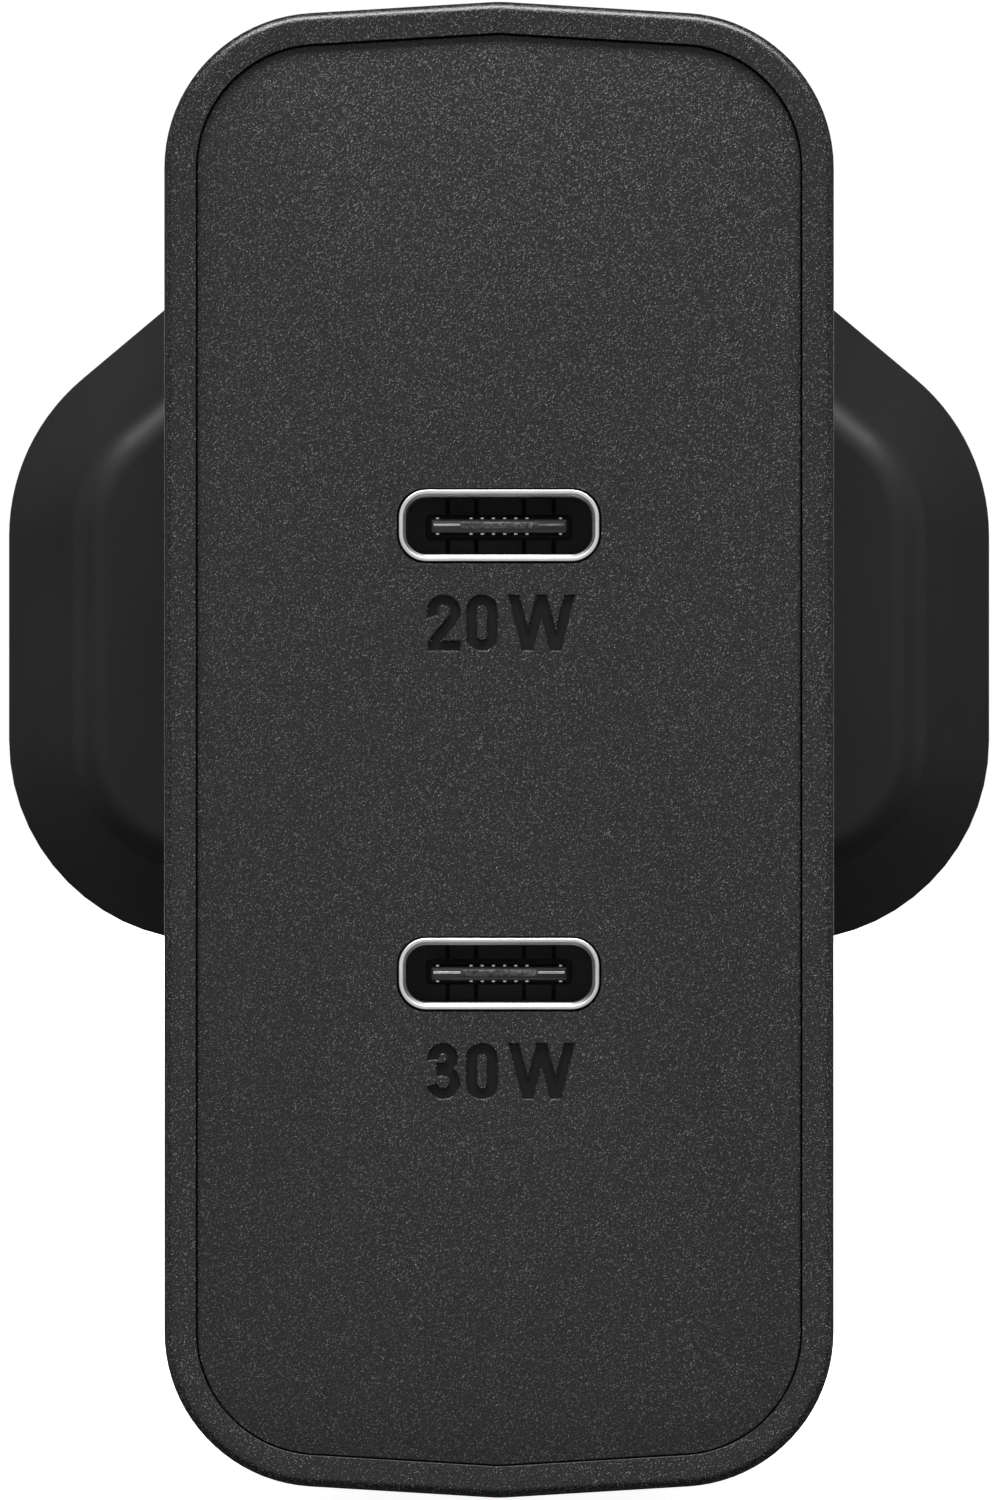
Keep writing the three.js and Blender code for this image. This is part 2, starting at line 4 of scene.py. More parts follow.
import bpy
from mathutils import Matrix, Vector


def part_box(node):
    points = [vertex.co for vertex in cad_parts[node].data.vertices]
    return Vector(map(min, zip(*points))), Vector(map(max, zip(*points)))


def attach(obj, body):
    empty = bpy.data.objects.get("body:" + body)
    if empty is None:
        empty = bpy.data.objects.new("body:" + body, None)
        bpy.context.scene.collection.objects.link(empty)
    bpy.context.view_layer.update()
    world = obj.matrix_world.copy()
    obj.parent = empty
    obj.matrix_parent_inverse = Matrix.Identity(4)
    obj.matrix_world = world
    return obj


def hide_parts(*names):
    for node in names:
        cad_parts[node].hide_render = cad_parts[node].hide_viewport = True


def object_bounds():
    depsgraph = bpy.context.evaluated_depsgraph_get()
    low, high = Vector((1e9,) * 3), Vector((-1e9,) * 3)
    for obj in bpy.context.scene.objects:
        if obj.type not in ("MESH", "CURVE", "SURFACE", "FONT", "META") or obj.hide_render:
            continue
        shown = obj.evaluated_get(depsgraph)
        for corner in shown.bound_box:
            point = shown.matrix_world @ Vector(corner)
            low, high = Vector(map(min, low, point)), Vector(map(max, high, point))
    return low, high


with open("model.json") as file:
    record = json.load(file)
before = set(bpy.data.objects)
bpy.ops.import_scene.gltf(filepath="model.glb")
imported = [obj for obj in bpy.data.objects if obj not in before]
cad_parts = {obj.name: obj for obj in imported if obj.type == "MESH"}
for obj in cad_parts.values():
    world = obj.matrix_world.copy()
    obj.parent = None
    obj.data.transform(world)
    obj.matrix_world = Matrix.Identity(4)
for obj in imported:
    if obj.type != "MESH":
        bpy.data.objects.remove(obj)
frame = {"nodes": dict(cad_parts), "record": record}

# USB wall charger. Lengths in the helpers are millimetres; meshes are written in metres.
MM = 0.001
cad_lo, cad_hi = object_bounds()


def mm_box(node):
    lo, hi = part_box(node)
    return [c / MM for c in lo], [c / MM for c in hi]


# ------------------------------------------------------------------ sizes taken from the frame
(s_lo, s_hi) = mm_box("housing_sleeve")
FRONT = s_lo[1]                              # front plane of the rim
SLEEVE_REAR = s_hi[1]
HALF_W = (s_hi[0] - s_lo[0]) / 2
APEX = (s_hi[2] - s_lo[2]) / 2
ZC = (s_hi[2] + s_lo[2]) / 2
(p_lo, p_hi) = mm_box("front_panel")
PANEL_FACE = p_lo[1]
PANEL_BACK = p_hi[1]
(b_lo, b_hi) = mm_box("plug_base")
BASE_BACK = b_hi[1]                          # engagement face
SPIGOT_FRONT = b_lo[1]
BASE_FRONT = SLEEVE_REAR + 0.3
BASE_SEAM = SLEEVE_REAR + 0.01
PLUG_HALF_W = (b_hi[0] - b_lo[0]) / 2
PORTS = []
for side in ("upper", "lower"):
    lo, hi = mm_box(side + "_port_shell")
    PORTS.append((side, (lo[2] + hi[2]) / 2, lo, hi))
PORT_W = PORTS[0][3][0] - PORTS[0][2][0]
PORT_H = PORTS[0][3][2] - PORTS[0][2][2]
PORT_REAR = PORTS[0][3][1]

GABLE = 0.0605
TILT = math.atan(GABLE)
BODY_R = 6.92
APEX_R = 7.0


# ------------------------------------------------------------------ outlines (x, z)
def arc(cx, cz, r, a0, a1, n):
    return [(cx + r * math.cos(math.radians(a0 + (a1 - a0) * i / n)),
             cz + r * math.sin(math.radians(a0 + (a1 - a0) * i / n))) for i in range(n + 1)]


def body_outline(inset, n=20):
    deg = math.degrees(TILT)
    cx = HALF_W - BODY_R
    cz = APEX - GABLE * cx - BODY_R / math.cos(TILT)
    r = BODY_R - inset
    top = APEX - APEX_R / math.cos(TILT)
    ra = APEX_R - inset
    pts = arc(cx, cz, r, 0, 90 - deg, n) + arc(0, top, ra, 90 - deg, 90 + deg, 4)
    pts += arc(-cx, cz, r, 90 + deg, 180, n)
    pts += arc(-cx, -cz, r, 180, 270 - deg, n) + arc(0, -top, ra, 270 - deg, 270 + deg, 4)
    pts += arc(cx, -cz, r, 270 + deg, 360, n)
    return [(x, z + ZC) for x, z in pts]


def flange_outline(inset, top_x=12.0, n=14):
    low_r, up_r, up_cz, sh, bottom = 9.73, 9.93, 8.18, 50.0, -11.48
    low_x, low_z, up_x = PLUG_HALF_W - low_r, bottom + low_r, PLUG_HALF_W - up_r
    a = math.radians(sh)
    reach = math.cos(a) * up_x + math.sin(a) * up_cz + up_r - inset
    top_z = (reach - math.cos(a) * top_x) / math.sin(a)
    right = arc(low_x, low_z, low_r - inset, -90, 0, n) + arc(up_x, up_cz, up_r - inset, 0, sh, n) + [(top_x, top_z)]
    return right + [(-x, z) for x, z in reversed(right)]


def round_rect(cx, cz, w, h, r, n=6):
    return (arc(cx + w / 2 - r, cz + h / 2 - r, r, 0, 90, n) + arc(cx - w / 2 + r, cz + h / 2 - r, r, 90, 180, n)
            + arc(cx - w / 2 + r, cz - h / 2 + r, r, 180, 270, n) + arc(cx + w / 2 - r, cz - h / 2 + r, r, 270, 360, n))


def offset(poly, d):
    """A simple polygon grown by d, mitred."""
    area = sum(poly[i][0] * poly[(i + 1) % len(poly)][1] - poly[(i + 1) % len(poly)][0] * poly[i][1] for i in range(len(poly)))
    s = 1 if area > 0 else -1
    out = []
    for i in range(len(poly)):
        a, b, c = Vector(poly[i - 1]), Vector(poly[i]), Vector(poly[(i + 1) % len(poly)])
        d0, d1 = (b - a).normalized(), (c - b).normalized()
        n0, n1 = Vector((d0.y, -d0.x)) * s, Vector((d1.y, -d1.x)) * s
        m = (n0 + n1)
        m = m.normalized() if m.length > 1e-9 else n0
        k = 1 / max(0.5, m.dot(n0))
        out.append((b.x + m.x * k * d, b.y + m.y * k * d))
    return out


def stroke(points, width):
    """Outline of a constant-width stroke along a polyline, square ends."""
    v = [Vector(p) for p in points]
    left, right = [], []
    for i, p in enumerate(v):
        n0 = n1 = None
        if i > 0:
            d = (p - v[i - 1]).normalized()
            n0 = Vector((-d.y, d.x))
        if i < len(v) - 1:
            d = (v[i + 1] - p).normalized()
            n1 = Vector((-d.y, d.x))
        m = (n0 + n1).normalized() if n0 is not None and n1 is not None else (n0 if n0 is not None else n1)
        k = 1 / max(0.35, m.dot(n0)) if n0 is not None and n1 is not None else 1
        left.append((p.x + m.x * k * width / 2, p.y + m.y * k * width / 2))
        right.append((p.x - m.x * k * width / 2, p.y - m.y * k * width / 2))
    return left + right[::-1]


# ------------------------------------------------------------------ mesh building
def new_object(name, verts, faces):
    me = bpy.data.meshes.new(name)
    me.from_pydata([tuple(c * MM for c in v) for v in verts], [], faces)
    me.validate()
    ob = bpy.data.objects.new(name, me)
    bpy.context.scene.collection.objects.link(ob)
    return ob


def fix_normals(ob):
    import bmesh
    bm = bmesh.new()
    bm.from_mesh(ob.data)
    bmesh.ops.remove_doubles(bm, verts=bm.verts, dist=1e-8)
    bmesh.ops.recalc_face_normals(bm, faces=bm.faces)
    bm.to_mesh(ob.data)
    bm.free()
    return ob


def loft(name, rings, close=False, caps=True):
    """Rings of equal length, each a list of (x, y, z); close joins the last ring to the first."""
    n = len(rings[0])
    verts = [p for r in rings for p in r]
    faces = []
    count = len(rings)
    for i in range(count if close else count - 1):
        a, b = i * n, ((i + 1) % count) * n
        for k in range(n):
            faces.append((a + k, a + (k + 1) % n, b + (k + 1) % n, b + k))
    if not close and caps:
        faces.append(tuple(range(n))[::-1])
        faces.append(tuple(range((count - 1) * n, count * n)))
    return fix_normals(new_object(name, verts, faces))


def loft_y(name, levels, close=False, caps=True):
    """levels: (outline in x,z ; y)."""
    return loft(name, [[(x, y, z) for x, z in pts] for pts, y in levels], close, caps)


def evaluated(ob):
    dg = bpy.context.evaluated_depsgraph_get()
    me = bpy.data.meshes.new_from_object(ob.evaluated_get(dg))
    old = ob.data
    ob.modifiers.clear()
    ob.data = me
    bpy.data.meshes.remove(old)
    return ob


def boolean(ob, cutters, mode="DIFFERENCE"):
    for c in cutters:
        m = ob.modifiers.new("cut", "BOOLEAN")
        m.operation, m.solver, m.object = mode, "EXACT", c
        evaluated(ob)
        bpy.data.objects.remove(c, do_unlink=True)
    return ob


def soften(ob, angle=35, weighted=True):
    me = ob.data
    me.polygons.foreach_set("use_smooth", [True] * len(me.polygons))
    me.set_sharp_from_angle(angle=math.radians(angle))
    if weighted:
        m = ob.modifiers.new("normals", "WEIGHTED_NORMAL")
        m.keep_sharp = True
        m.weight = 100
    return ob


def finish_piece(ob, material, replaced=(), angle=35, weighted=True):
    if material is not None:
        for m in (material if isinstance(material, (list, tuple)) else [material]):
            ob.data.materials.append(m)
    soften(ob, angle, weighted)
    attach(ob, "root")
    if replaced:
        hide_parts(*replaced)
    return ob


def quarter(x0, y0, x1, y1, n=6, bulge_first="x"):
    """Points of a quarter ellipse from (x0, y0) to (x1, y1); leaves along bulge_first."""
    out = []
    for i in range(n + 1):
        t = math.pi / 2 * i / n
        if bulge_first == "x":
            out.append((x0 + (x1 - x0) * math.sin(t), y0 + (y1 - y0) * (1 - math.cos(t))))
        else:
            out.append((x0 + (x1 - x0) * (1 - math.cos(t)), y0 + (y1 - y0) * math.sin(t)))
    return out


# ------------------------------------------------------------------ materials
class Mat:
    def __init__(self, name):
        self.m = bpy.data.materials.new(name)
        self.m.use_nodes = True
        self.t = self.m.node_tree
        self.t.nodes.clear()
        self.out = self.node("ShaderNodeOutputMaterial")
        self.bsdf = self.node("ShaderNodeBsdfPrincipled")
        self.link(self.bsdf.outputs[0], self.out.inputs["Surface"])
        self.coord = self.node("ShaderNodeTexCoord").outputs["Object"]

    def node(self, kind, **props):
        n = self.t.nodes.new(kind)
        for k, v in props.items():
            setattr(n, k, v)
        return n

    def link(self, a, b):
        self.t.links.new(a, b)

    def set(self, **values):
        for k, v in values.items():
            self.bsdf.inputs[k.replace("_", " ")].default_value = v

    def mapped(self, scale=(1, 1, 1), rotation=(0, 0, 0), kind="POINT"):
        n = self.node("ShaderNodeMapping", vector_type=kind)
        n.inputs["Scale"].default_value = scale
        n.inputs["Rotation"].default_value = rotation
        self.link(self.coord, n.inputs["Vector"])
        return n.outputs[0]

    def noise(self, scale, detail=2.0, rough=0.5, vector=None, distortion=0.0):
        n = self.node("ShaderNodeTexNoise")
        n.inputs["Scale"].default_value = scale
        n.inputs["Detail"].default_value = detail
        n.inputs["Roughness"].default_value = rough
        n.inputs["Distortion"].default_value = distortion
        self.link(vector if vector is not None else self.coord, n.inputs["Vector"])
        return n.outputs["Fac"]

    def voronoi(self, scale, feature="F1", vector=None, smooth=0.3):
        n = self.node("ShaderNodeTexVoronoi", feature=feature)
        n.inputs["Scale"].default_value = scale
        if feature == "SMOOTH_F1":
            n.inputs["Smoothness"].default_value = smooth
        self.link(vector if vector is not None else self.coord, n.inputs["Vector"])
        return n.outputs["Distance"]

    def cells(self, scale, vector):
        """Distance to the cell centre and a random value for each cell."""
        n = self.node("ShaderNodeTexVoronoi", feature="F1")
        n.inputs["Scale"].default_value = scale
        self.link(vector, n.inputs["Vector"])
        sep = self.node("ShaderNodeSeparateColor")
        self.link(n.outputs["Color"], sep.inputs["Color"])
        return n.outputs["Distance"], sep.outputs[0]

    def math(self, op, a, b=None, c=None, clamp=False):
        n = self.node("ShaderNodeMath", operation=op, use_clamp=clamp)
        for i, v in enumerate((a, b, c)):
            if v is None:
                continue
            if isinstance(v, (int, float)):
                n.inputs[i].default_value = v
            else:
                self.link(v, n.inputs[i])
        return n.outputs[0]

    def remap(self, v, a0, a1, b0, b1):
        n = self.node("ShaderNodeMapRange")
        n.inputs["From Min"].default_value, n.inputs["From Max"].default_value = a0, a1
        n.inputs["To Min"].default_value, n.inputs["To Max"].default_value = b0, b1
        self.link(v, n.inputs["Value"])
        return n.outputs[0]

    def ramp(self, v, stops):
        n = self.node("ShaderNodeValToRGB")
        e = n.color_ramp.elements
        while len(e) < len(stops):
            e.new(0.5)
        for el, (pos, col) in zip(e, stops):
            el.position, el.color = pos, (*col, 1)
        self.link(v, n.inputs["Fac"])
        return n.outputs["Color"]

    def bump(self, height, distance, strength=1.0, normal=None):
        n = self.node("ShaderNodeBump")
        n.inputs["Strength"].default_value = strength
        n.inputs["Distance"].default_value = distance
        self.link(height, n.inputs["Height"])
        if normal is not None:
            self.link(normal, n.inputs["Normal"])
        return n.outputs["Normal"]

    def to(self, socket, value):
        self.link(value, self.bsdf.inputs[socket])


def grained(name, dark, light, rough=(0.18, 0.27), depth=0.028, level=0.43):
    """Moulded plastic with a fine spark-eroded grain: tiny leaning ridges, and sparse tips that stand higher. The base
    colour has light and shade painted in: the tallest tips are painted as bright glints, and the ridge noise paints the
    valleys darker and the ridges lighter.
    """
    m = Mat(name)
    lean = m.mapped(scale=(1.50, 1.0, 0.80), rotation=(0.0, math.radians(-42), 0.0), kind="TEXTURE")
    dist, rnd = m.cells(20500, lean)
    tip = m.remap(dist, 0.10, 0.52, 1.0, 0.0)
    tips_and_painted_glints = m.math("MULTIPLY", tip, m.math("POWER", rnd, 5.5))
    ridge = m.noise(17500, 1.0, 0.5, lean)
    h = m.math("ADD", m.math("MULTIPLY", tips_and_painted_glints, 0.75), m.math("MULTIPLY", ridge, 0.50))
    m.to("Normal", m.bump(h, depth * MM))
    # Base colour: painted glints (bright specks on the tallest tips, up to the light colour), plus painted shade in the
    # grain valleys and painted light on the ridges.
    m.to("Base Color", m.ramp(m.math("ADD", tips_and_painted_glints, m.remap(ridge, 0.30, 0.70, -0.02, 0.04)), [(0.0, dark), (1.0, light)]))
    m.to("Roughness", m.remap(ridge, 0.3, 0.7, rough[1], rough[0]))
    m.set(Specular_IOR_Level=level)
    return m.m


def smooth_plastic(name, dark, light, rough=(0.32, 0.42), depth=0.0015, scale=3500, level=0.5, coat=0.0):
    m = Mat(name)
    fine = m.noise(scale, 3.0, 0.6)
    broad = m.noise(95, 2.0, 0.5)
    m.to("Normal", m.bump(fine, depth * MM))
    m.to("Base Color", m.ramp(broad, [(0.35, dark), (0.65, light)]))
    m.to("Roughness", m.remap(m.math("ADD", m.math("MULTIPLY", fine, 0.5), m.math("MULTIPLY", broad, 0.5)), 0.35, 0.65, *rough))
    m.set(Specular_IOR_Level=level, Coat_Weight=coat)
    return m.m


def metal(name, dark, light, rough=(0.12, 0.24), scale=(400, 6000, 400), depth=0.0008, detail=3.0, grime=380):
    """Drawn or brushed metal: fine lines along the low-scale axis, faint tarnish."""
    m = Mat(name)
    lines = m.noise(1.0, detail, 0.6, m.mapped(scale=scale))
    tarnish = m.noise(grime, 3.0, 0.6)
    m.to("Base Color", m.ramp(tarnish, [(0.35, dark), (0.68, light)]))
    m.to("Roughness", m.remap(m.math("ADD", m.math("MULTIPLY", lines, 0.7), m.math("MULTIPLY", tarnish, 0.3)), 0.3, 0.7, *rough))
    m.to("Normal", m.bump(lines, depth * MM))
    m.set(Metallic=1.0)
    return m.m


M = {
    # The dark colour is the plastic itself; the light colour (0.24) is the painted glint colour of the grain tips.
    "housing": grained("grained_charcoal_with_painted_glints", (0.0050, 0.0050, 0.0051), (0.240, 0.240, 0.241)),
    "mark": smooth_plastic("sunk_mark_smooth", (0.0038, 0.0038, 0.0039), (0.0048, 0.0048, 0.0049), rough=(0.28, 0.34), level=0.22),
    "base": smooth_plastic("plug_satin_charcoal", (0.0078, 0.0078, 0.0079), (0.0095, 0.0095, 0.0096), rough=(0.38, 0.46), depth=0.003, scale=5200, level=0.28),
    "pin_plastic": smooth_plastic("pin_black_nylon", (0.008, 0.008, 0.0085), (0.012, 0.012, 0.0125), rough=(0.30, 0.42), depth=0.002),
    "inner_plastic": smooth_plastic("inner_black_moulding", (0.008, 0.008, 0.009), (0.016, 0.016, 0.017), rough=(0.4, 0.55), depth=0.004, scale=2600),
    "port_plastic": smooth_plastic("port_black_nylon", (0.0075, 0.0075, 0.0076), (0.0110, 0.0110, 0.0112), rough=(0.38, 0.50), depth=0.004, scale=9000, level=0.32),
    "tongue": smooth_plastic("tongue_glass_filled_nylon", (0.020, 0.020, 0.0205), (0.055, 0.055, 0.056), rough=(0.35, 0.55), depth=0.010, scale=14000),
    "shell": metal("port_shell_bright_steel", (0.78, 0.78, 0.785), (0.87, 0.87, 0.875), rough=(0.35, 0.42), scale=(300, 5200, 300)),
    # Darker copy of the shell steel for the faces inside the port: painted shade.
    "shell_inner": metal("port_shell_steel_painted_shade", (0.42, 0.42, 0.425), (0.52, 0.52, 0.525), rough=(0.34, 0.44), scale=(300, 5200, 300)),
    "contact": metal("contact_plated", (0.70, 0.66, 0.57), (0.80, 0.77, 0.69), rough=(0.15, 0.28), scale=(6000, 500, 6000)),
    "midplate": metal("midplate_blanked_steel", (0.035, 0.035, 0.035), (0.15, 0.15, 0.15), rough=(0.45, 0.65), scale=(9000, 9000, 14000), depth=0.012, grime=6000),
    "ear": metal("midplate_ear_steel", (0.10, 0.10, 0.10), (0.55, 0.55, 0.55), rough=(0.3, 0.5), scale=(4000, 4000, 9000), depth=0.008),
    "pin_metal": metal("pin_nickel_plate", (0.70, 0.66, 0.58), (0.82, 0.79, 0.72), rough=(0.14, 0.27), scale=(5200, 260, 5200)),
    "screw": metal("screw_zinc_plate", (0.55, 0.56, 0.58), (0.72, 0.73, 0.75), rough=(0.2, 0.35), scale=(2000, 2000, 2000)),
}

# ------------------------------------------------------------------ housing sleeve
prof = []                                            # (inset, y), once round the wall
prof += quarter(0.30, SLEEVE_REAR, 0.0, SLEEVE_REAR - 0.30, 5, "x")
prof += [(0.0, SLEEVE_REAR - 9), (0.0, SLEEVE_REAR - 20)]
prof += quarter(0.0, FRONT + 0.46, 0.46, FRONT, 9, "y")
prof += quarter(1.40, FRONT, 1.42, FRONT + 0.02, 3, "x")
prof += [(1.42, PANEL_BACK + 0.28), (2.0, PANEL_BACK + 0.28), (2.0, SLEEVE_REAR - 20), (2.0, SLEEVE_REAR)]
sleeve = loft_y("sleeve_shell", [(body_outline(i), y) for i, y in prof], close=True)
finish_piece(sleeve, M["housing"], ["housing_sleeve"])


# ------------------------------------------------------------------ sunk rating numerals
MARK_TOP, MARK_FOOT, STROKE, MARK_DEPTH = 3.12, 5.59, 0.44, 0.26
MARK_H = MARK_FOOT - MARK_TOP


def numeral(kind):
    """Plain even-stroke shapes: list of (outline, hole or None), x from the left edge, z from the foot."""
    H, s = MARK_H, STROKE / 2
    if kind == "0":
        return [(round_rect(0.69, H / 2, 1.38, H, 0.66, 10), round_rect(0.69, H / 2, 0.48, H - 0.92, 0.235, 8))]
    if kind == "2":
        r = 0.744
        curve = arc(r, H - r, r - s, 203, -38, 20)
        end = (0.30, 0.36)
        return [(stroke(curve + [end], STROKE), None), ([(0.06, 0), (1.488, 0), (1.488, 0.43), (0.06, 0.43)], None)]
    if kind == "3":
        ru, rl = 0.655, 0.735
        up = arc(0.715, H - ru, ru - s, 190, -90, 20) + [(0.46, H - 2 * ru + s)]
        low = [(0.46, 2 * rl - s)] + arc(0.735, rl, rl - s, 90, -165, 20)
        return [(stroke(up, STROKE), None), (stroke(low, STROKE), None)]
    b, w = 0.45, 2.94
    xs = [(0.0, 0.63), (1.245, 0.63), (1.245, 1.86), (2.49, 1.86)]
    return [([(t, H), (f, 0), (f + b, 0), (t + b, H)], None) for t, f in xs]


def sunk_cutters(digit, foot_z):
    out = []
    for kind, x0 in ((digit, -3.22), ("0", -1.45), ("W", 0.43)):
        for poly, hole in numeral(kind):
            pts = [(x0 + x, foot_z + z) for x, z in poly]
            lev = [(offset(pts, 0.055), PANEL_FACE - 0.5), (offset(pts, 0.048), PANEL_FACE - 0.002),
                   (offset(pts, -0.018), PANEL_FACE + 0.066), (offset(pts, -0.026), PANEL_FACE + MARK_DEPTH)]
            cutter = loft_y("cut_" + kind, lev)
            if hole:
                hp = [(x0 + x, foot_z + z) for x, z in hole]
                core = loft_y("core", [(offset(hp, -0.050), PANEL_FACE - 0.6), (offset(hp, -0.045), PANEL_FACE - 0.002),
                                       (offset(hp, 0.012), PANEL_FACE + 0.060), (offset(hp, 0.018), PANEL_FACE + MARK_DEPTH + 0.1)])
                boolean(cutter, [core])
            out.append(cutter)
    return out


# ------------------------------------------------------------------ front panel
PORT_R = 1.24
prof = [(1.475, PANEL_BACK), (1.475, PANEL_FACE + 0.08)] + quarter(1.475, PANEL_FACE + 0.05, 1.52, PANEL_FACE, 3, "y")
panel = loft_y("front_panel_face", [(body_outline(i), y) for i, y in prof])
cutters = []
for side, pz, lo, hi in PORTS:
    w, h = PORT_W + 0.17, PORT_H + 0.17
    lev = [(round_rect(0, pz, w + 0.7, h + 0.7, PORT_R + 0.40, 12), PANEL_FACE - 0.3),
           (round_rect(0, pz, w + 0.03, h + 0.03, PORT_R + 0.08, 12), PANEL_FACE - 0.001),
           (round_rect(0, pz, w, h, PORT_R + 0.065, 12), PANEL_FACE + 0.02),
           (round_rect(0, pz, w, h, PORT_R + 0.065, 12), PANEL_BACK + 0.5)]
    cutters.append(loft_y("cut_port", lev))
cutters += sunk_cutters("2", PORTS[0][1] - MARK_FOOT) + sunk_cutters("3", PORTS[1][1] - MARK_FOOT)
boolean(panel, cutters)
panel.data.materials.clear()
panel.data.materials.append(M["housing"])
panel.data.materials.append(M["mark"])
for p in panel.data.polygons:
    c, n = p.center / MM, p.normal
    if PANEL_FACE + 0.04 < c.y < PANEL_FACE + MARK_DEPTH + 0.03 and abs(c.x) < 4 and (n.y < -0.9 or abs(n.y) < 0.5):
        near = [abs(c.z - (pz - (MARK_TOP + MARK_FOOT) / 2)) for _, pz, _, _ in PORTS]
        p.material_index = 1 if min(near) < 1.35 else 0
finish_piece(panel, None, ["front_panel"], weighted=False, angle=30)

# ------------------------------------------------------------------ plug base
T0, T1 = (0.0, BASE_BACK - 1.5), (3.8, BASE_FRONT)
slope = math.atan2(T0[1] - T1[1], T1[0])
R = 2.0
back = R * math.tan(slope / 2)
levels = [(flange_outline(i), y) for i, y in quarter(0.45, BASE_BACK, 0.0, BASE_BACK - 0.45, 5, "x")]
levels += [(flange_outline(i), y) for i, y in quarter(0.0, T0[1] + 0.2, 0.12, T0[1] - 0.35, 4, "y")]
for i in range(13):
    a = slope * (1 - i / 12)
    levels.append((flange_outline(T1[0] + back - R * math.sin(a)), BASE_FRONT + R - R * math.cos(a)))
flange = loft_y("flange", levels)
prof = quarter(0.45, BASE_BACK, 0.0, BASE_BACK - 0.45, 5, "x") + quarter(0.0, BASE_SEAM + 0.30, 0.30, BASE_SEAM, 5, "y")
base = loft_y("plug_base_shell", [(body_outline(i), y) for i, y in prof])
spigot = loft_y("spigot", [(body_outline(i), y) for i, y in [(2.2, BASE_FRONT + 1), (2.2, SPIGOT_FRONT + 0.3), (2.5, SPIGOT_FRONT)]])
boolean(base, [flange, spigot], "UNION")
cav = loft_y("cav", [(body_outline(3.5), SPIGOT_FRONT - 1), (body_outline(3.5), BASE_BACK - 2.4)])
wing = loft_y("wing", [(flange_outline(5.8, 10), BASE_FRONT + 2), (flange_outline(3.2, 10), BASE_BACK - 2.4)])
boolean(base, [cav, wing])
SCREWS = [((lo[0] + hi[0]) / 2, (lo[2] + hi[2]) / 2) for lo, hi in (mm_box("retainer_screw_%d" % i) for i in (1, 2, 3))]
for x, z in SCREWS:
    post = loft_y("post", [(arc(x, z, 2.3, 0, 345, 23), BASE_BACK - 1.9), (arc(x, z, 2.3, 0, 345, 23), BASE_BACK - 4.3)])
    boolean(base, [post], "UNION")
    boolean(base, [loft_y("hole", [(arc(x, z, 1.15, 0, 345, 23), BASE_BACK - 5), (arc(x, z, 1.15, 0, 345, 23), BASE_BACK - 1.2)])])
panel_cut = loft_y("rear_recess", [(round_rect(0, -22.0, 21.0, 14.0, 2.0, 8), BASE_BACK - 0.30), (round_rect(0, -22.0, 21.0, 14.0, 2.0, 8), BASE_BACK - 0.08),
                                   (round_rect(0, -22.0, 21.2, 14.2, 2.1, 8), BASE_BACK + 0.01), (round_rect(0, -22.0, 21.2, 14.2, 2.1, 8), BASE_BACK + 0.5)])
boolean(base, [panel_cut])
PIN_X = sum(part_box("live_pin")[k][0] for k in (0, 1)) / 2 / MM
COVER = mm_box("live_pin_cover")
EARTH = mm_box("earth_pin")
EARTH_Z = (EARTH[0][2] + EARTH[1][2]) / 2
for s in (-1, 1):
    cx = s * 11.115
    boolean(base, [loft_y("pinhole", [(round_rect(cx, 0, 6.55, 4.17, 0.6, 5), BASE_BACK - 3.5), (round_rect(cx, 0, 6.55, 4.17, 0.6, 5), BASE_BACK - 0.12),
                                      (round_rect(cx, 0, 6.80, 4.42, 0.7, 5), BASE_BACK + 0.01), (round_rect(cx, 0, 6.80, 4.42, 0.7, 5), BASE_BACK + 0.5)])])
boolean(base, [loft_y("pinhole", [(round_rect(0, EARTH_Z, 4.17, 8.15, 0.6, 5), BASE_BACK - 3.5), (round_rect(0, EARTH_Z, 4.17, 8.15, 0.6, 5), BASE_BACK - 0.12),
                                  (round_rect(0, EARTH_Z, 4.42, 8.40, 0.7, 5), BASE_BACK + 0.01), (round_rect(0, EARTH_Z, 4.42, 8.40, 0.7, 5), BASE_BACK + 0.5)])])
finish_piece(base, M["base"], ["plug_base"], angle=32)

